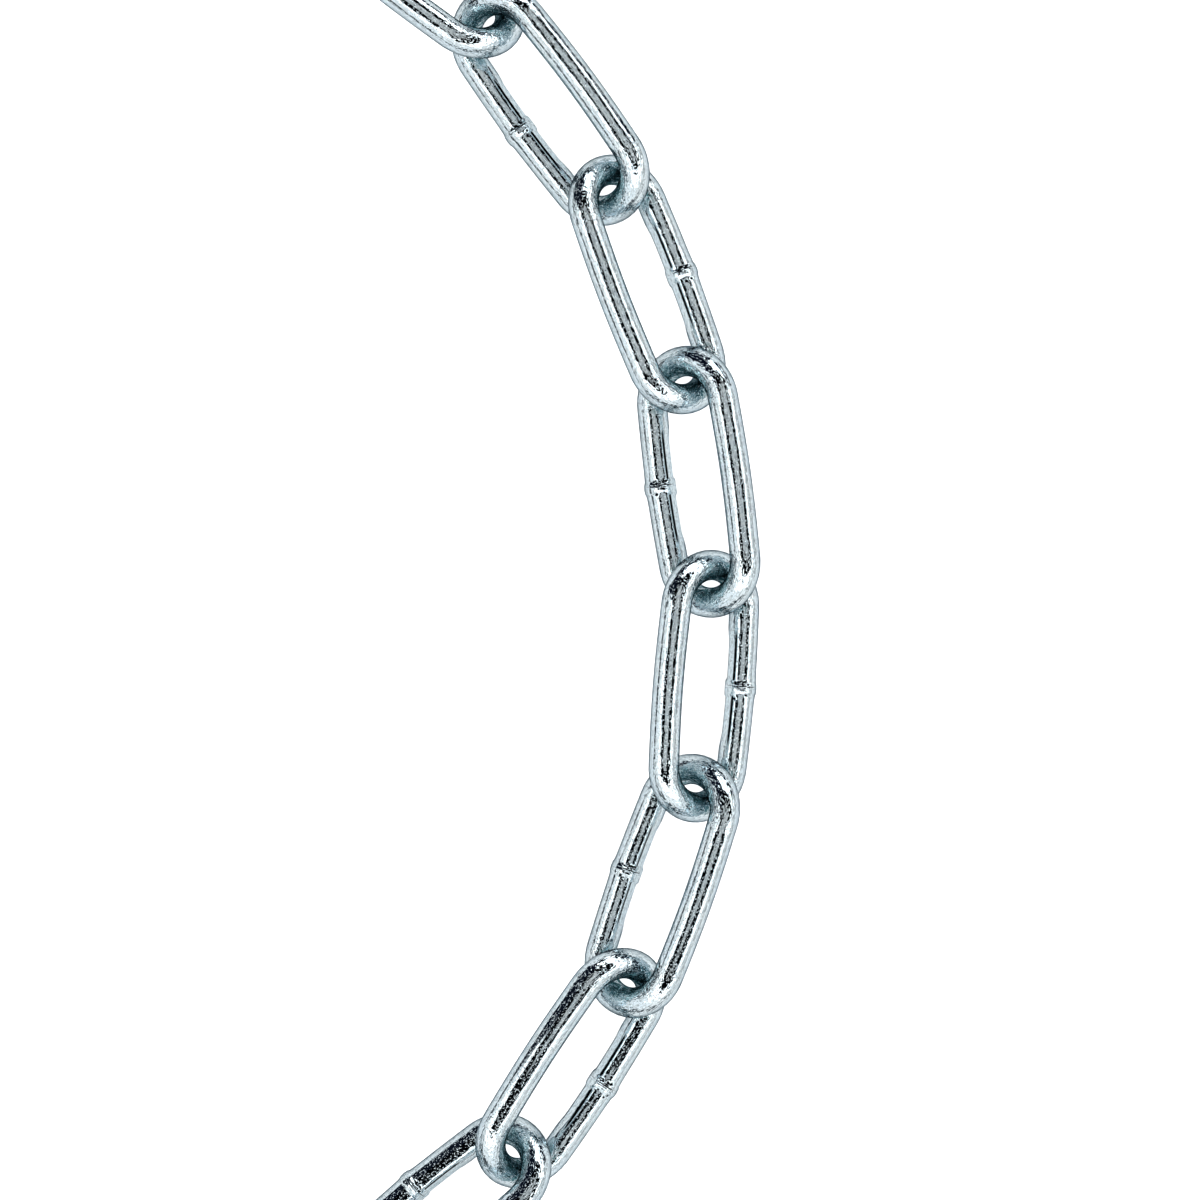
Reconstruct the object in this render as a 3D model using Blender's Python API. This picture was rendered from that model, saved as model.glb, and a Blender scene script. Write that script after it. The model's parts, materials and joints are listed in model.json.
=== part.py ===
"""One metre of long-link steel chain, lying in an open loop on a level floor.

Every link is one bent and butt-welded piece of round wire, and is its own object. The links lean
over alternately to one side and the other, each on its lower limb, and hook through the next one.
The chain runs clockwise, seen from above, from the free end of link_01 to that of link_29.
"""
import math

import bmesh
import bpy
from mathutils import Matrix, Vector

# Wire and link, in metres
WIRE_DIAMETER = 0.005
INNER_LENGTH = 0.035
CROWN_WIDTH = 0.0144  # between the limbs' centrelines, where they meet the crowns
LIMB_BOW = 0.0003  # how far the middle of each limb stands out from the line of its ends
LEVEL_LENGTH = 0.010  # the straight middle of a limb, where the welded limb is joined and rests

# Facets of the wire
SECTION_SIDES = 12
CROWN_TURNS = 6

# The chain as it lies
LEAN = math.radians(36)  # of each link's plane from the floor
SLACK = 0.0012  # the gap between two hooked crowns, along the chain
HOOK_SPACING = INNER_LENGTH - SLACK
FREE_END_TURNS_DEG = (2, -3, 1, 2, -2, 0, 3, 4, 8, 11, 11.9)  # right turns, link_01 to link_12
ARC_TURNS_DEG = (15.6, 15.6, 13, 12.4, 15.1, 13.4, 17.4)  # link_12 to link_19
OTHER_END_TURNS_DEG = (14, 11, 8, 5, 2, -1, 2, -2, 1, 0)  # link_19 to link_29

ZINC_COLOUR = (0.76, 0.79, 0.82, 1)
ZINC_ROUGHNESS = 0.28


def clear_scene():
    for item in list(bpy.data.objects):
        bpy.data.objects.remove(item, do_unlink=True)


def zinc_plate():
    material = bpy.data.materials.new("zinc_plate")
    material.use_nodes = True
    shader = material.node_tree.nodes["Principled BSDF"]
    shader.inputs["Base Color"].default_value = ZINC_COLOUR
    shader.inputs["Roughness"].default_value = ZINC_ROUGHNESS
    shader.inputs["Metallic"].default_value = 1
    return material


def section_radius():
    """Corner radius of the polygon that has the round wire's area."""
    step = math.tau / SECTION_SIDES
    return WIRE_DIAMETER / 2 * math.sqrt(step / math.sin(step))


def flat_distance():
    """From the wire's centreline to its flats."""
    return section_radius() * math.cos(math.pi / SECTION_SIDES)


def centreline():
    """The link's rings in its own plane, once round: each ring's place and the way outward there.

    X runs along the link and Y across it. Outward is longer than 1 where the wire turns a corner,
    so that the flats on both sides of the corner meet there.
    """
    radius = CROWN_WIDTH / 2
    crown_x = (INNER_LENGTH + WIRE_DIAMETER) / 2 - radius
    turn = math.pi / CROWN_TURNS
    corner = 1 / math.cos(turn / 2)
    rings = []
    for end in (1, -1):
        for k in range(CROWN_TURNS):
            angle = (k + 0.5) * turn - math.pi / 2
            outward = Vector((end * math.cos(angle), end * math.sin(angle))) * corner
            rings.append((Vector((end * crown_x, 0)) + outward * radius, outward))
        for along in (0.5, -0.5):
            place = Vector((end * along * LEVEL_LENGTH, end * (radius + LIMB_BOW)))
            rings.append((place, Vector((0, end))))
    return rings


def link_mesh():
    """A closed ring of wire in the XY plane, with one flat that faces the floor when it leans."""
    mesh = bmesh.new()
    first_corner = LEAN - math.pi / 2 + math.pi / SECTION_SIDES
    radius = section_radius()
    loops = []
    for place, outward in centreline():
        corners = []
        for k in range(SECTION_SIDES):
            angle = first_corner + k * math.tau / SECTION_SIDES
            flat = place + outward * radius * math.cos(angle)
            corners.append(mesh.verts.new((flat.x, flat.y, radius * math.sin(angle))))
        loops.append(corners)
    for loop, following in zip(loops, loops[1:] + loops[:1]):
        for k in range(SECTION_SIDES):
            after = (k + 1) % SECTION_SIDES
            mesh.faces.new((loop[k], following[k], following[after], loop[after]))
    bmesh.ops.recalc_face_normals(mesh, faces=mesh.faces)
    data = bpy.data.meshes.new("link")
    mesh.to_mesh(data)
    mesh.free()
    return data


def link_places():
    """Where each link's middle lies and how the link is turned, before the chain is centred."""
    height = (CROWN_WIDTH / 2 + LIMB_BOW) * math.sin(LEAN) + flat_distance()
    turns = FREE_END_TURNS_DEG + ARC_TURNS_DEG + OTHER_END_TURNS_DEG
    hook = Vector((0, 0, height))
    heading = 0
    places = []
    for number, turn_deg in enumerate((0,) + turns, start=1):
        heading -= math.radians(turn_deg)
        along = Vector((math.cos(heading), math.sin(heading), 0))
        middle = hook + along * HOOK_SPACING / 2
        hook = hook + along * HOOK_SPACING
        facing = heading + math.pi * ((number + 1) % 2)
        lean = Matrix.Rotation(LEAN, 4, "X")
        places.append(Matrix.Translation(middle) @ Matrix.Rotation(facing, 4, "Z") @ lean)
    return places


def centre_of(data, places):
    """The middle of the whole chain's box, on the floor."""
    points = [place @ corner.co for place in places for corner in data.vertices]
    x_values = [point.x for point in points]
    y_values = [point.y for point in points]
    return Vector(((min(x_values) + max(x_values)) / 2, (min(y_values) + max(y_values)) / 2, 0))


def add_link(name, data, place):
    link = bpy.data.objects.new(name, data)
    link.matrix_world = place
    bpy.context.scene.collection.objects.link(link)


def build_chain():
    data = link_mesh()
    data.materials.append(zinc_plate())
    data.shade_smooth()
    data.set_sharp_from_angle(angle=math.radians(40))
    places = link_places()
    to_origin = Matrix.Translation(-centre_of(data, places))
    for number, place in enumerate(places, start=1):
        add_link(f"link_{number:02d}", data, to_origin @ place)


clear_scene()
build_chain()
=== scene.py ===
"""Looks of one metre of bright zinc-plated long-link chain, built round its packed links."""
import json
import math

import bpy
import numpy as np
from mathutils import Matrix, Vector


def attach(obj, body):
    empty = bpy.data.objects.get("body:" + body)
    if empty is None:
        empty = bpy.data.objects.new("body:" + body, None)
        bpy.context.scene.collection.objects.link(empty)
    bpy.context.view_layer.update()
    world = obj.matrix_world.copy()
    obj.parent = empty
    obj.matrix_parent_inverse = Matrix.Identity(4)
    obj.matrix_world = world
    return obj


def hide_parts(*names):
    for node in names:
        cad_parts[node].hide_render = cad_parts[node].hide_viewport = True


# Photograph
PHOTO_SIZE = 1200
PIXELS_PER_METRE = 6080  # at the height of the hooks
HOOK_JOINT = "bend_15_16"
HOOK_PIXEL = (712.4, 583.8)
CAMERA_ABOVE_HOOKS = 0.5
CAMERA_RANGE = (0.01, 50)
SENSOR_WIDTH = 36

# Link, in metres
WIRE_RADIUS = 0.0025
CROWN_RADIUS = 0.0071
CROWN_CENTRE = 0.0129  # from the link's middle, along it
LIMB_BOW = 0.0004

# Mesh of the wire: its sides and rings, and the rings' places from the weld along its limb, in metres
SIDES = 96
CROWN_RINGS = 22
PLAIN_RINGS = 18  # on the limb without a weld
NEAR_STEP = 0.00007
NEAR_END = 0.0012
MIDDLE_GAP = 0.00011
MIDDLE_STEP = 0.00014
MIDDLE_END = 0.0023
FAR_GAP = 0.0006
FAR_RINGS = 11
CORNER_DECIMALS = 6  # to which a solid's corners are told apart
MM_PER_METRE = 1000

# Angles round the wire: 0 is out of the link in its plane, a quarter turn is up from the plane
SKY_SIDE = math.radians(126)  # straight up, on the welded limb as it lies
FLOOR_SIDE = math.radians(-54)
JAW_GROOVE = math.radians(156)
FLAT_REACH = math.pi / 3  # the most that a flat reaches to each side of its middle

# Weld, in the middle of one limb, in metres; its start side is towards the chain's first link
WELD_WANDER = 0.00008  # of its edges and creases, to and fro along the wire
COLLAR_HEIGHT = 0.00018
COLLAR_UNEVENNESS = 0.4
COLLAR_START_LENGTH = 0.00030  # on top, to its start side
COLLAR_OTHER_LENGTH = 0.00035
COLLAR_SIDE_LENGTH = 0.00035  # more than on top, from COLLAR_SIDE on
COLLAR_SIDE = math.radians(40)  # from the top
COLLAR_SLOPE_LENGTH = 0.00050
UPSET_HEIGHT = 0.00003
UPSET_LENGTH = 0.0025
KNUCKLE_HEIGHT = 0.00012  # of the bulge on the link's outer side
KNUCKLE_LENGTH = 0.0018
RIDGE_HEIGHT = 0.00006
RIDGE_WIDTH = 0.00016
RIDGE_LEFT = 0.7  # the share of it that trimming left, more in some places than in others
CREASES = ((0.00038, 0.8), (-0.00098, 0.2))  # each one's place towards the start, and how open it is
CREASE_DEPTH = 0.00013
CREASE_WIDTH = 0.00009
CREASE_UNEVENNESS = 0.9
CREASE_REACH = math.radians(75)  # round the wire, from the top
START_PITS = 12
OTHER_PITS = 2
OTHER_PITS_FURTHER = 1.4  # times as far from the weld
PIT_DEPTH = 0.00012
PIT_LEAST_DEPTH = 0.6  # of that depth
PIT_PLACES = (0.00050, 0.00125)
PIT_ANGLES_DEG = (-30, 24)  # from the top
PIT_SIZES = (0.00011, 0.00023)
PIT_WIDENING = 1.2  # across the wire
PIT_EDGE = 1.45  # in pit sizes from its middle
FIRST_SEED = 100  # of the welds' differences: one for each link

# The fewest and the most waves round the wire in each unevenness of the weld
EDGE_WAVES = (1, 4)
COLLAR_WAVES = (1, 3)
RIDGE_WAVES = (2, 7)
CREASE_LINE_WAVES = (1, 5)
CREASE_WAVES = (2, 8)
WEAKEST_WAVE = 0.3  # of the strongest that there can be

# Marks of the welding jaws along the welded limb, in metres from the weld
JAW_START = 0.0010
JAW_START_SLOPE = 0.0006
JAW_END = 0.0110
JAW_END_SLOPE = 0.0035
JAW_FLATS_DEG = ((180, 23), (216, 27))  # the middle of each flat round the wire, and half its width
JAW_GROOVE_DEPTH = 0.00009
JAW_GROOVE_LEAST = 0.55  # of that depth
JAW_GROOVE_WIDTH = math.radians(5)
GROOVE_SIDES = (-1.1, -0.4, 0.4, 1.1)  # more mesh lines at the groove, in its widths from its middle

# Where the crowns' plating differs, and where their inner side gets painted shade: along the link in
# metres, and round the wire in cosines
CROWN_BLEND = 0.003
RUBBED_AND_SHADED_BEFORE_CROWN = 0.0015
RUBBED_AND_SHADED_FROM = 0.1
RUBBED_AND_SHADED_BLEND = 0.6
BENT_BEFORE_CROWN = 0.0025

# Plating: each noise has its scale per millimetre, its detail, and how far it is drawn out
WAVES = (0.9, 1, 2.5)
LINES = (3.4, 2, 16)
SPECKLE = (2.0, 1, 1.6)
PATCHES = (0.16, 2, 1)
GRAINS = (4.5, 0, 1.5)
DRIFT = (0.5, 2, 3)
FLECKS = (4.2, 2, 4)

# Depths of its relief, in metres
WAVES_DEPTH = 0.00003
LINES_DEPTH = 0.000017
SPECKLE_DEPTH = 0.00010
GRAINS_DEPTH = 0.00003

# What a noise or a mark makes, as places on a ramp and the value at each
PATCH_STOPS = ((0.52, 0.03), (0.75, 0.25))
GRAIN_STOPS = ((0.60, 0), (0.74, 1.0))
FLECK_STOPS = ((0.36, 1.0), (0.52, 0))
PIT_STOPS = ((0.25, 0), (0.6, 1.0))
RUBBED_AND_SHADED_STOPS = ((0.45, 1.0), (0.56, 0.0))
ROUGHNESS_STOPS = ((0.35, 0.04), (0.7, 0.12))

# Colours of the plating
ZINC_PALE = (0.745, 0.815, 0.840, 1)
ZINC_BLUE = (0.705, 0.800, 0.850, 1)
TINT_STOPS = ((0.35, ZINC_PALE), (0.65, ZINC_BLUE))
FLECKED_ZINC = (0.58, 0.65, 0.68, 1)
EDGE_TINT = (0.08, 0.11, 0.13, 1)  # of the reflection at a glancing angle
# Dull, rougher plating on the crowns' inner side, darkened to teal as painted shade where the links hook
# into each other
RUBBED_AND_SHADED_ZINC = (0.25, 0.40, 0.42, 1)
RUBBED_ROUGHNESS = 0.16
# Near black, painted shade in the weld's pits and creases and along the jaw groove
PAINTED_HOLLOW_SHADE = (0.015, 0.018, 0.022, 1)

# Sockets of the Mix node for colours: their names are those of its other sockets too
COLOUR_INPUTS = (6, 7)
COLOUR_OUTPUT = 2

# Studio, as seen from the chain: compass bearings anticlockwise from +X, and angles from overhead
TENT_BRIGHTEST = math.radians(205)
TENT_LEVELS = (0.74, 1.40)  # on the far side from there, and towards it, cut off at 1
HORIZON_LEVEL = 0.66  # of the tent's brightness above
HORIZON_HEIGHTS = (0.05, 0.45)  # where that ends and the full brightness starts, as sines
CEILING_CENTRE = (math.radians(45), math.radians(10))
CEILING_RADIUS = math.radians(19)
GAP_RADIUS = math.radians(38.5)
RIM_RADIUS = math.radians(56)
CONE_SOFTNESS = math.radians(1)
CEILING = (0.62, 0.62, 0.62, 1)
GAP = (0.002, 0.003, 0.005, 1)
RIM = (1.85, 1.85, 1.85, 1)
SHADE = (0.016, 0.022, 0.038, 1)
SOFTBOX = (2.8, 2.8, 2.8, 1)
SKIRT_GAP = (0.08, 0.09, 0.10, 1)  # where the tent ends, just above the floor
BLACK = (0, 0, 0, 1)
WHITE = (1, 1, 1, 1)

# Panels of the studio: between two bearings, and between two angles from overhead
RIM_PANEL_DEG = ((24, 60), (42, 66))
CORNER_PANEL_DEG = ((98, 157), (20, 100))
LOW_PANEL_DEG = ((30, 99), (69, 100))
SOFTBOX_PANEL_DEG = ((58, 95), (44, 72))
PANEL_SOFTNESS = 0.025
SKIRT_GAP_FROM_ZENITH_DEG = (75, 87)
SKIRT_GAP_SOFTNESS = 0.02
SKIRT_GAP_SIDES = (-0.5, 0.3)  # where it starts and is full, as cosines from the brightest bearing

# Floor, in metres, and picture
FLOOR_REACH = 12
FLOOR_WHITE = (0.9, 0.9, 0.9, 1)
FLOOR_GLOW = 0.3
FLOOR_GLOW_TO_CAMERA = 0.75
BACKDROP = (1.4, 1.4, 1.4, 1)
EXPOSURE = -0.37


def clear_default_scene():
    for name in ("Cube", "Light", "Camera"):
        item = bpy.data.objects.get(name)
        if item is not None:
            bpy.data.objects.remove(item, do_unlink=True)


def add_camera(hook):
    """Straight above the picture's middle, with the picture's top towards +Y."""
    across = (PHOTO_SIZE / 2 - HOOK_PIXEL[0]) / PIXELS_PER_METRE
    up = (HOOK_PIXEL[1] - PHOTO_SIZE / 2) / PIXELS_PER_METRE
    data = bpy.data.cameras.new("camera")
    data.sensor_width = SENSOR_WIDTH
    data.lens = SENSOR_WIDTH * CAMERA_ABOVE_HOOKS / (PHOTO_SIZE / PIXELS_PER_METRE)
    data.clip_start, data.clip_end = CAMERA_RANGE
    camera = bpy.data.objects.new("camera", data)
    camera.location = hook + Vector((across, up, CAMERA_ABOVE_HOOKS))
    bpy.context.scene.collection.objects.link(camera)
    bpy.context.scene.camera = camera


def link_frame(node):
    """The link's own axes and middle, read from its solid: X along it, Y towards its upper limb."""
    points = np.array([corner.co for corner in node.data.vertices])
    points = np.unique(np.round(points, CORNER_DECIMALS), axis=0)
    middle = points.mean(axis=0)
    _, axes = np.linalg.eigh(np.cov((points - middle).T))
    normal = axes[:, 0] * np.sign(axes[2, 0])
    across = axes[:, 1] * np.sign(axes[2, 1])
    along = np.cross(across, normal)
    columns = Matrix((along, across, normal)).transposed().to_4x4()
    return Matrix.Translation(middle) @ columns


def weld_limb_places():
    """Distances from the weld along its limb, close together near the weld."""
    near = np.arange(NEAR_STEP / 2, NEAR_END, NEAR_STEP)
    middle = np.arange(near[-1] + MIDDLE_GAP, MIDDLE_END, MIDDLE_STEP)
    far = np.linspace(middle[-1] + FAR_GAP, CROWN_CENTRE, FAR_RINGS)
    return np.concatenate([near, middle, far])


def bowed(along):
    return CROWN_RADIUS + LIMB_BOW * np.cos(along / CROWN_CENTRE * math.pi / 2)


def centreline():
    """Points once round the link from its weld, with the distance along the wire at each."""
    half = weld_limb_places()
    turn = np.linspace(-math.pi / 2, math.pi / 2, CROWN_RINGS + 2)[1:-1]
    plain = np.linspace(CROWN_CENTRE, -CROWN_CENTRE, PLAIN_RINGS)
    crown = np.stack([CROWN_CENTRE + CROWN_RADIUS * np.cos(turn), CROWN_RADIUS * np.sin(turn)], 1)
    pieces = [
        np.stack([half, -bowed(half)], 1),
        crown,
        np.stack([plain, bowed(plain)], 1),
        -crown,
        np.stack([-half[::-1], -bowed(half[::-1])], 1),
    ]
    points = np.concatenate(pieces)
    steps = np.linalg.norm(np.diff(points, axis=0), axis=1)
    travelled = np.concatenate([[0], np.cumsum(steps)]) + half[0]
    return points, travelled, travelled[-1] + half[0]


def ripple(random, angles, lowest, highest):
    """A smooth wave round the wire, different for each link, between about -1 and 1."""
    wave = np.zeros_like(angles)
    for count in range(lowest, highest + 1):
        wave += random.uniform(WEAKEST_WAVE, 1) * np.cos(count * angles + random.uniform(0, math.tau))
    return wave / (highest - lowest + 1)


def hump(distance, width):
    return np.exp(-((distance / width) ** 2))


def smooth_step(value):
    value = np.clip(value, 0, 1)
    return value * value * (3 - 2 * value)


def turned_from(angles, middle):
    return (angles - middle + math.pi) % math.tau - math.pi


def weld_bead(to_start, angles, random):
    """Height of the weld's collar and trimmed ridge above the wire."""
    wander = WELD_WANDER * ripple(random, angles, *EDGE_WAVES)
    from_top = np.clip(np.abs(turned_from(angles, SKY_SIDE)) / COLLAR_SIDE, 0, 1)
    collar_end = np.where(to_start > 0, COLLAR_START_LENGTH, COLLAR_OTHER_LENGTH)
    collar_end = collar_end + COLLAR_SIDE_LENGTH * from_top**2 + wander
    collar = np.clip(1 - (np.abs(to_start) - collar_end) / COLLAR_SLOPE_LENGTH, 0, 1)
    uneven = 1 + COLLAR_UNEVENNESS * ripple(random, angles, *COLLAR_WAVES)
    height = COLLAR_HEIGHT * uneven * collar
    height += UPSET_HEIGHT * hump(to_start, UPSET_LENGTH)
    height += KNUCKLE_HEIGHT * np.clip(np.cos(angles), 0, 1) * hump(to_start, KNUCKLE_LENGTH)
    ridge = np.clip(RIDGE_LEFT + ripple(random, angles, *RIDGE_WAVES), 0, 1)
    return height + RIDGE_HEIGHT * ridge * hump(to_start - wander, RIDGE_WIDTH)


def weld_creases(to_start, angles, random):
    """How deep the creases beside the weld are, from 0 to 1."""
    near_top = hump(turned_from(angles, SKY_SIDE), CREASE_REACH)
    depth = np.zeros(np.broadcast(to_start, angles).shape)
    for place, openness in CREASES:
        wander = WELD_WANDER * ripple(random, angles, *CREASE_LINE_WAVES)
        uneven = CREASE_UNEVENNESS * ripple(random, angles, *CREASE_WAVES)
        open_part = np.clip(openness + uneven, 0, 1)
        crease = near_top * open_part * hump(to_start - place - wander, CREASE_WIDTH)
        depth = np.maximum(depth, crease)
    return depth


def weld_pits(to_start, angles, random):
    """How deep the pits beside the weld are, from 0 to 1; most are on its start side."""
    depth = np.zeros(np.broadcast(to_start, angles).shape)
    for number in range(START_PITS + OTHER_PITS):
        side = 1 if number < START_PITS else -OTHER_PITS_FURTHER
        place = side * random.uniform(*PIT_PLACES)
        angle = SKY_SIDE + math.radians(random.uniform(*PIT_ANGLES_DEG))
        size = random.uniform(*PIT_SIZES)
        across = turned_from(angles, angle) * WIRE_RADIUS
        spread = np.sqrt(((to_start - place) / size) ** 2 + (across / (PIT_WIDENING * size)) ** 2)
        pit = random.uniform(PIT_LEAST_DEPTH, 1) * smooth_step(PIT_EDGE - spread)
        depth = np.maximum(depth, pit)
    return depth


def jaw_shape(from_weld, angles):
    """Where a welding jaw touched: how much, and its flats' distance from the centreline."""
    touched = smooth_step((from_weld - JAW_START) / JAW_START_SLOPE)
    touched = touched * smooth_step((JAW_END - from_weld) / JAW_END_SLOPE)
    nearest = np.full(np.broadcast(touched, angles).shape, np.inf)
    for middle, half_width in np.radians(JAW_FLATS_DEG):
        turned = turned_from(angles, middle)
        within = np.abs(turned) < FLAT_REACH
        flat = WIRE_RADIUS * np.cos(half_width * touched) / np.where(within, np.cos(turned), 1)
        nearest = np.where(within, np.minimum(nearest, flat), nearest)
    return touched, nearest


def above_floor(radii, angles):
    """The radii cut off at the level that the link lies on."""
    downward = np.cos(angles - FLOOR_SIDE)
    near_floor = downward > math.cos(FLAT_REACH)
    limit = WIRE_RADIUS / np.where(near_floor, downward, 1)
    return np.where(near_floor, np.minimum(radii, limit), radii)


def wire_surface(travelled, length, angles, start_side, random):
    """The wire's radius, and how deep its pits, creases and jaw groove are, where painted shade goes, at
    every ring and angle; its weld is at distance 0.
    """
    signed = np.where(travelled < length / 2, travelled, travelled - length)[:, None]
    angles = angles[None]
    to_start = signed * start_side
    touched, flat = jaw_shape(np.abs(signed), angles)
    creased = weld_creases(to_start, angles, random)
    pitted = weld_pits(to_start, angles, random)
    groove = random.uniform(JAW_GROOVE_LEAST, 1) * touched
    groove = groove * hump(turned_from(angles, JAW_GROOVE), JAW_GROOVE_WIDTH)
    radii = np.minimum(WIRE_RADIUS + weld_bead(to_start, angles, random), flat)
    radii = radii - CREASE_DEPTH * creased - PIT_DEPTH * pitted - JAW_GROOVE_DEPTH * groove
    return above_floor(radii, angles), np.maximum(np.maximum(creased, pitted), groove)


def near_crowns(points, before):
    """1 in the crowns, falling to 0 that far before them on the limbs."""
    return smooth_step((np.abs(points[:, :1]) - CROWN_CENTRE + before) / CROWN_BLEND)


def crown_inside(points, angles):
    """1 on the inner side of the crowns, where the next link rubs and painted shade goes, and 0
    elsewhere.
    """
    inner_side = smooth_step((-np.cos(angles)[None] - RUBBED_AND_SHADED_FROM) / RUBBED_AND_SHADED_BLEND)
    return near_crowns(points, RUBBED_AND_SHADED_BEFORE_CROWN) * inner_side


def crown_bent(points, angles):
    """1 where the wire is bent round, and 0 along the limbs."""
    return np.broadcast_to(near_crowns(points, BENT_BEFORE_CROWN), (len(points), len(angles)))


def section_angles():
    """Even angles round the wire, with more of them at the jaw's groove."""
    even = np.arange(SIDES) * math.tau / SIDES
    extra = JAW_GROOVE + JAW_GROOVE_WIDTH * np.array(GROOVE_SIDES)
    return np.sort(np.concatenate([even, extra]))


def wire_corners(points, radii, angles):
    """The wire's mesh corners, ring after ring."""
    ahead = np.roll(points, -1, axis=0) - np.roll(points, 1, axis=0)
    ahead /= np.linalg.norm(ahead, axis=1)[:, None]
    outward = np.stack([ahead[:, 1], -ahead[:, 0]], 1)
    flat = points[:, None, :] + outward[:, None, :] * (radii * np.cos(angles))[:, :, None]
    height = radii * np.sin(angles)
    return np.concatenate([flat, height[:, :, None]], axis=2).reshape(-1, 3)


def wire_quads(rings, sides):
    """Faces that join each ring to the next, and the last ring to the first."""
    ring, side = np.meshgrid(np.arange(rings), np.arange(sides), indexing="ij")
    after = (ring + 1) % rings
    beside = (side + 1) % sides
    corners = [ring * sides + side, after * sides + side, after * sides + beside, ring * sides + beside]
    return np.stack(corners, -1).reshape(-1, 4)


def places_on_wire(travelled, angles):
    """Each corner's place on a straight round wire: along it, and in its section."""
    along = np.repeat(travelled, len(angles))
    across = np.tile(np.cos(angles), len(travelled)) * WIRE_RADIUS
    up = np.tile(np.sin(angles), len(travelled)) * WIRE_RADIUS
    return np.stack([along, across, up], 1)


def add_attribute(data, name, kind, values):
    attribute = data.attributes.new(name, kind, "POINT")
    field = "vector" if kind == "FLOAT_VECTOR" else "value"
    attribute.data.foreach_set(field, values.astype(np.float32).ravel())


def wire_mesh(name, start_side, random):
    """One welded link in its own plane, as a closed mesh, with what its plating needs at each point."""
    points, travelled, length = centreline()
    angles = section_angles()
    radii, pitted = wire_surface(travelled, length, angles, start_side, random)
    corners = wire_corners(points, radii, angles)
    data = bpy.data.meshes.new(name)
    data.from_pydata(corners.tolist(), [], wire_quads(*radii.shape).tolist())
    data.shade_smooth()
    add_attribute(data, "wire_place_mm", "FLOAT_VECTOR", places_on_wire(travelled, angles) * MM_PER_METRE)
    # Masks for painted shade: the pits, creases and jaw groove, then the crowns' inner side
    add_attribute(data, "pitted", "FLOAT", pitted)
    add_attribute(data, "rubbed_and_shaded", "FLOAT", crown_inside(points, angles))
    add_attribute(data, "bent", "FLOAT", crown_bent(points, angles))
    return data


def add_node(tree, kind, inputs=None, **settings):
    node = tree.nodes.new(kind)
    for key, value in settings.items():
        setattr(node, key, value)
    for key, value in (inputs or {}).items():
        node.inputs[key].default_value = value
    return node


def stretched_noise(tree, source, scale, detail, stretch):
    """Noise drawn out along the wire; source is the place along the wire, in millimetres."""
    mapping = add_node(tree, "ShaderNodeMapping", {"Scale": (1 / stretch, 1, 1)})
    tree.links.new(source, mapping.inputs["Vector"])
    noise = add_node(tree, "ShaderNodeTexNoise", {"Scale": scale, "Detail": detail})
    tree.links.new(mapping.outputs["Vector"], noise.inputs["Vector"])
    return noise.outputs["Fac"]


def ramp(tree, source, stops):
    node = add_node(tree, "ShaderNodeValToRGB")
    for element, (position, value) in zip(node.color_ramp.elements, stops):
        element.position = position
        element.color = value if isinstance(value, tuple) else (value, value, value, 1)
    tree.links.new(source, node.inputs["Fac"])
    return node.outputs["Color"]


def times(tree, first, second):
    node = add_node(tree, "ShaderNodeMath", operation="MULTIPLY")
    tree.links.new(first, node.inputs[0])
    tree.links.new(second, node.inputs[1])
    return node.outputs["Value"]


def roughened(tree, normal, height, depth):
    node = add_node(tree, "ShaderNodeBump", {"Strength": 1, "Distance": depth})
    tree.links.new(height, node.inputs["Height"])
    if normal is not None:
        tree.links.new(normal, node.inputs["Normal"])
    return node.outputs["Normal"]


def mixed(tree, below, above, mask, kind="RGBA"):
    """Above over below where the mask is 1; each is a socket or a constant."""
    node = add_node(tree, "ShaderNodeMix", data_type=kind)
    names = ("A", "B") if kind == "FLOAT" else COLOUR_INPUTS
    for name, value in zip(names, (below, above)):
        socket = node.inputs[name]
        if isinstance(value, bpy.types.NodeSocket):
            tree.links.new(value, socket)
        else:
            socket.default_value = value
    tree.links.new(mask, node.inputs["Factor"])
    return node.outputs["Result" if kind == "FLOAT" else COLOUR_OUTPUT]


def point_value(tree, name, output="Fac"):
    return add_node(tree, "ShaderNodeAttribute", attribute_name=name).outputs[output]


def zinc_relief(tree, place, speckle):
    """Slow waves, drawing lines, fine speckle in patches and where bent, and scattered grains."""
    waves = stretched_noise(tree, place, *WAVES)
    lines = stretched_noise(tree, place, *LINES)
    patches = ramp(tree, stretched_noise(tree, place, *PATCHES), PATCH_STOPS)
    speckled = mixed(tree, patches, 1, point_value(tree, "bent"), "FLOAT")
    grains = ramp(tree, stretched_noise(tree, place, *GRAINS), GRAIN_STOPS)
    normal = roughened(tree, None, waves, WAVES_DEPTH)
    normal = roughened(tree, normal, lines, LINES_DEPTH)
    normal = roughened(tree, normal, times(tree, speckle, speckled), SPECKLE_DEPTH)
    return roughened(tree, normal, grains, GRAINS_DEPTH)


def zinc_tint(tree, place):
    """Slow drifts between a paler and a bluer zinc, with fine darker flecks drawn along the wire."""
    tint = ramp(tree, stretched_noise(tree, place, *DRIFT), TINT_STOPS)
    flecked = ramp(tree, stretched_noise(tree, place, *FLECKS), FLECK_STOPS)
    return mixed(tree, tint, FLECKED_ZINC, flecked)


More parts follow.
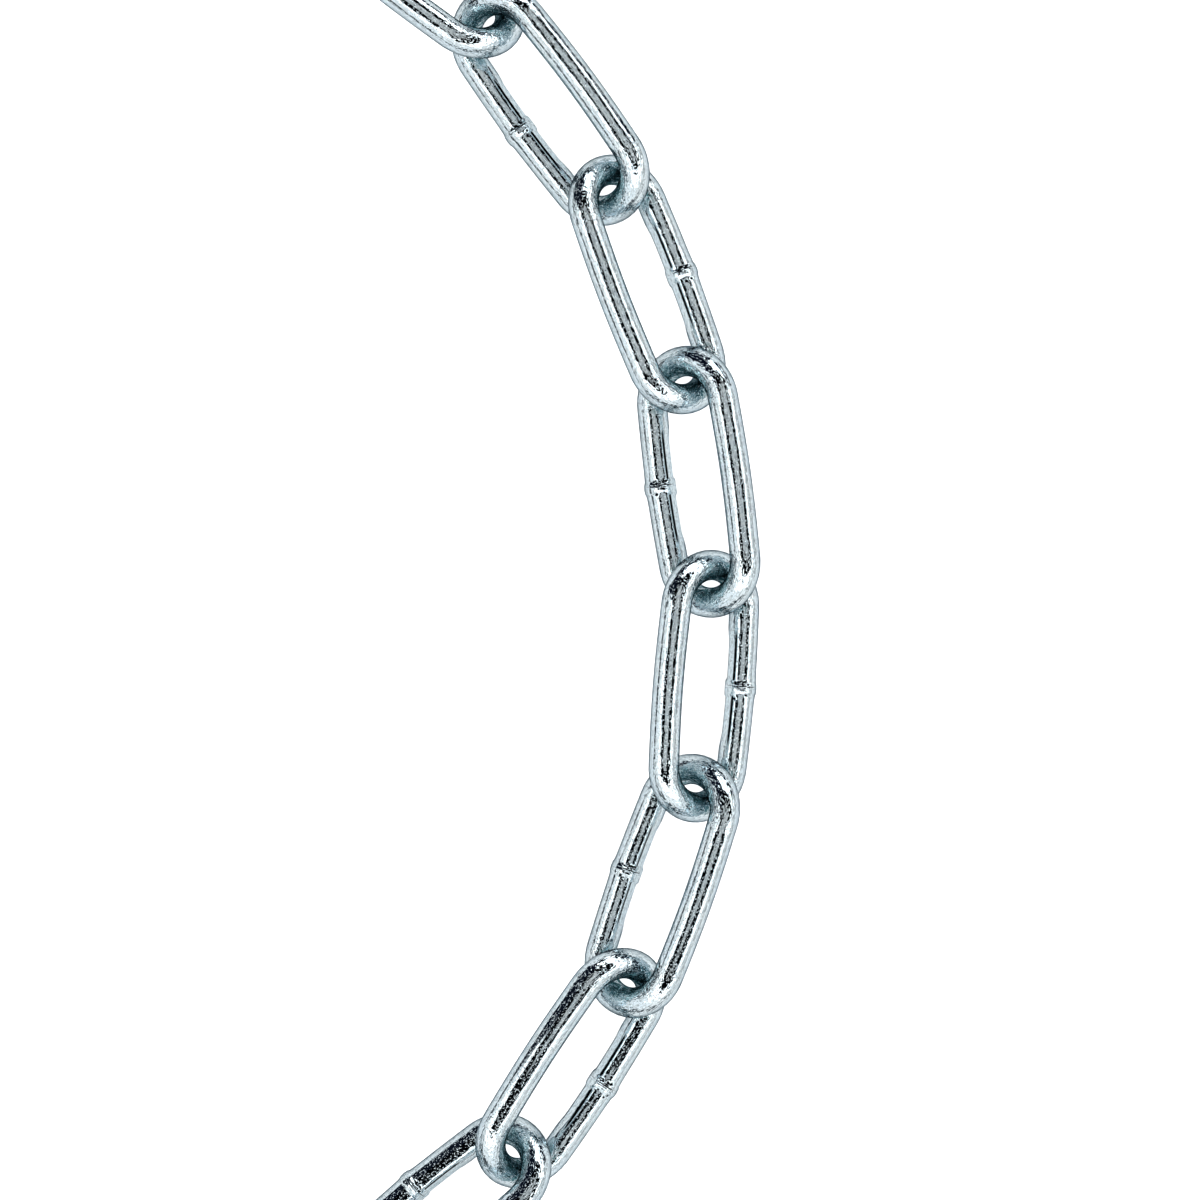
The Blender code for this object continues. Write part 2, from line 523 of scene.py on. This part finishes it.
def zinc_plate():
    """Bright zinc on drawn wire, dulled where links rub, with painted shade on the crowns' inner side and
    in pits, creases and the jaw groove.
    """
    material = bpy.data.materials.new("zinc_plate")
    material.use_nodes = True
    tree = material.node_tree
    shader = tree.nodes["Principled BSDF"]
    shader.inputs["Metallic"].default_value = 1
    shader.inputs["Specular Tint"].default_value = EDGE_TINT
    place = point_value(tree, "wire_place_mm", "Vector")
    speckle = stretched_noise(tree, place, *SPECKLE)
    tree.links.new(zinc_relief(tree, place, speckle), shader.inputs["Normal"])
    # Patches on the crowns' inner side: rougher there, and given painted shade in the colour below
    rubbed_and_shaded = times(tree, point_value(tree, "rubbed_and_shaded"), ramp(tree, speckle, RUBBED_AND_SHADED_STOPS))
    roughness = ramp(tree, speckle, ROUGHNESS_STOPS)
    roughness = mixed(tree, roughness, RUBBED_ROUGHNESS, rubbed_and_shaded, "FLOAT")
    tree.links.new(roughness, shader.inputs["Roughness"])
    # Painted shade: the crowns' inner side darkened to dull teal
    tint = mixed(tree, zinc_tint(tree, place), RUBBED_AND_SHADED_ZINC, rubbed_and_shaded)
    pitted = ramp(tree, point_value(tree, "pitted"), PIT_STOPS)
    # Painted shade, near black, in pits, creases and the jaw groove
    tree.links.new(mixed(tree, tint, PAINTED_HOLLOW_SHADE, pitted), shader.inputs["Base Color"])
    return material


def start_sides(frames):
    """For each link, 1 where its own X axis points towards the chain's start, and -1 elsewhere."""
    middles = [link.translation for link in frames]
    ahead = [after - before for before, after in zip(middles, middles[1:])]
    ahead.append(ahead[-1])
    return [-1 if link.col[0].xyz.dot(way) > 0 else 1 for link, way in zip(frames, ahead)]


def add_links(frame, material):
    names = sorted(frame["nodes"])
    frames = [link_frame(frame["nodes"][name]) for name in names]
    for index, (name, link, side) in enumerate(zip(names, frames, start_sides(frames))):
        data = wire_mesh("plated_" + name, side, np.random.default_rng(FIRST_SEED + index))
        data.transform(link)
        data.materials.append(material)
        piece = bpy.data.objects.new("plated_" + name, data)
        bpy.context.scene.collection.objects.link(piece)
        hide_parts(name)
        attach(piece, name)


def compass(bearing):
    return Vector((math.cos(bearing), math.sin(bearing), 0))


def reach_along(tree, direction, axis):
    """How far the direction goes along the axis."""
    node = add_node(tree, "ShaderNodeVectorMath", {1: axis}, operation="DOT_PRODUCT")
    tree.links.new(direction, node.inputs[0])
    return node.outputs["Value"]


def rising(tree, value, start, end, low=0, high=1):
    limits = {"From Min": start, "From Max": end, "To Min": low, "To Max": high}
    node = add_node(tree, "ShaderNodeMapRange", limits, interpolation_type="SMOOTHSTEP")
    tree.links.new(value, node.inputs["Value"])
    return node.outputs["Result"]


def floor_glow(tree):
    """Brighter to the camera than to the chain, as an overexposed studio floor is."""
    seen = add_node(tree, "ShaderNodeLightPath").outputs["Is Camera Ray"]
    return rising(tree, seen, 0, 1, FLOOR_GLOW, FLOOR_GLOW_TO_CAMERA)


def white_floor():
    material = bpy.data.materials.new("white_floor")
    material.use_nodes = True
    tree = material.node_tree
    shader = tree.nodes["Principled BSDF"]
    shader.inputs["Base Color"].default_value = FLOOR_WHITE
    shader.inputs["Roughness"].default_value = 1
    shader.inputs["Specular IOR Level"].default_value = 0
    shader.inputs["Emission Color"].default_value = WHITE
    tree.links.new(floor_glow(tree), shader.inputs["Emission Strength"])
    return material


def add_floor():
    data = bpy.data.meshes.new("floor")
    ways = ((-1, -1), (1, -1), (1, 1), (-1, 1))
    corners = [(x * FLOOR_REACH, y * FLOOR_REACH, 0) for x, y in ways]
    data.from_pydata(corners, [], [(0, 1, 2, 3)])
    data.materials.append(white_floor())
    floor = bpy.data.objects.new("floor", data)
    bpy.context.scene.collection.objects.link(floor)


def cone_mask(tree, direction, radius):
    """1 inside a round patch of the sky about the ceiling's centre and 0 outside it."""
    bearing, from_zenith = CEILING_CENTRE
    axis = compass(bearing) * math.sin(from_zenith) + Vector((0, 0, math.cos(from_zenith)))
    outer = math.cos(radius + CONE_SOFTNESS)
    inner = math.cos(radius - CONE_SOFTNESS)
    return rising(tree, reach_along(tree, direction, axis), outer, inner)


def band_mask(tree, direction, from_zenith_deg, softness):
    """1 in a level band of the sky between two angles from overhead."""
    high, low = (math.cos(math.radians(value)) for value in from_zenith_deg)
    height = reach_along(tree, direction, (0, 0, 1))
    mask = rising(tree, height, low - softness, low + softness)
    return times(tree, mask, rising(tree, height, high + softness, high - softness))


def panel_mask(tree, direction, panel_deg):
    """1 inside a panel of the sky between two bearings and two angles from overhead."""
    bearings_deg, from_zenith_deg = panel_deg
    first, last = (math.radians(value) for value in bearings_deg)
    past_first = reach_along(tree, direction, compass(first + math.pi / 2))
    before_last = reach_along(tree, direction, compass(last - math.pi / 2))
    mask = rising(tree, past_first, -PANEL_SOFTNESS, PANEL_SOFTNESS)
    mask = times(tree, mask, rising(tree, before_last, -PANEL_SOFTNESS, PANEL_SOFTNESS))
    return times(tree, mask, band_mask(tree, direction, from_zenith_deg, PANEL_SOFTNESS))


def skirt_gap_mask(tree, direction):
    """1 in a narrow band low in the sky, on the tent's bright side."""
    band = band_mask(tree, direction, SKIRT_GAP_FROM_ZENITH_DEG, SKIRT_GAP_SOFTNESS)
    side = reach_along(tree, direction, compass(TENT_BRIGHTEST))
    return times(tree, band, rising(tree, side, *SKIRT_GAP_SIDES))


def tent_brightness(tree, direction):
    side = reach_along(tree, direction, compass(TENT_BRIGHTEST))
    limits = {"From Min": -1, "To Min": TENT_LEVELS[0], "To Max": TENT_LEVELS[1]}
    node = add_node(tree, "ShaderNodeMapRange", limits)
    tree.links.new(side, node.inputs["Value"])
    height = reach_along(tree, direction, (0, 0, 1))
    return times(tree, node.outputs["Result"], rising(tree, height, *HORIZON_HEIGHTS, HORIZON_LEVEL, 1))


def sky_colour(tree, direction):
    """What the chain mirrors: a later layer covers the ones before it."""
    layers = (
        (WHITE, tent_brightness(tree, direction)),
        (SKIRT_GAP, skirt_gap_mask(tree, direction)),
        (RIM, cone_mask(tree, direction, RIM_RADIUS)),
        (RIM, panel_mask(tree, direction, RIM_PANEL_DEG)),
        (SHADE, panel_mask(tree, direction, CORNER_PANEL_DEG)),
        (SHADE, panel_mask(tree, direction, LOW_PANEL_DEG)),
        (SOFTBOX, panel_mask(tree, direction, SOFTBOX_PANEL_DEG)),
        (GAP, cone_mask(tree, direction, GAP_RADIUS)),
        (CEILING, cone_mask(tree, direction, CEILING_RADIUS)),
    )
    sky = BLACK
    for colour, mask in layers:
        sky = mixed(tree, sky, colour, mask)
    return sky


def studio_sky():
    """A light tent round a grey ceiling, with a dark corner and a softbox towards +Y."""
    world = bpy.data.worlds.new("studio")
    bpy.context.scene.world = world
    world.use_nodes = True
    tree = world.node_tree
    tree.nodes.clear()
    direction = add_node(tree, "ShaderNodeTexCoord").outputs["Generated"]
    seen = add_node(tree, "ShaderNodeLightPath").outputs["Is Camera Ray"]
    background = add_node(tree, "ShaderNodeBackground")
    sky = mixed(tree, sky_colour(tree, direction), BACKDROP, seen)
    tree.links.new(sky, background.inputs["Color"])
    output = add_node(tree, "ShaderNodeOutputWorld")
    tree.links.new(background.outputs["Background"], output.inputs["Surface"])


def set_picture_tones():
    settings = bpy.context.scene.view_settings
    settings.view_transform = "Standard"
    settings.look = "High Contrast"
    settings.exposure = EXPOSURE


clear_default_scene()
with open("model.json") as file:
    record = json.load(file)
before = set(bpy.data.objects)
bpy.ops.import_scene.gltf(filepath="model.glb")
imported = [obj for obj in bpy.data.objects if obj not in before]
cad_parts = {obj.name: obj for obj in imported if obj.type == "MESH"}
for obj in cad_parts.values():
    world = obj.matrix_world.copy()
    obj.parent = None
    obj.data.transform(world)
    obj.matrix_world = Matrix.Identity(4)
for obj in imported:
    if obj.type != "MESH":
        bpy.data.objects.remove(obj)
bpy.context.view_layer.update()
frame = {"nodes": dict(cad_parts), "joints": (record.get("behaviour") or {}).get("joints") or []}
hook_point = next(joint for joint in frame["joints"] if joint["name"] == HOOK_JOINT)["pos_m"]
add_camera(Vector(hook_point))
add_links(frame, zinc_plate())
add_floor()
studio_sky()
set_picture_tones()
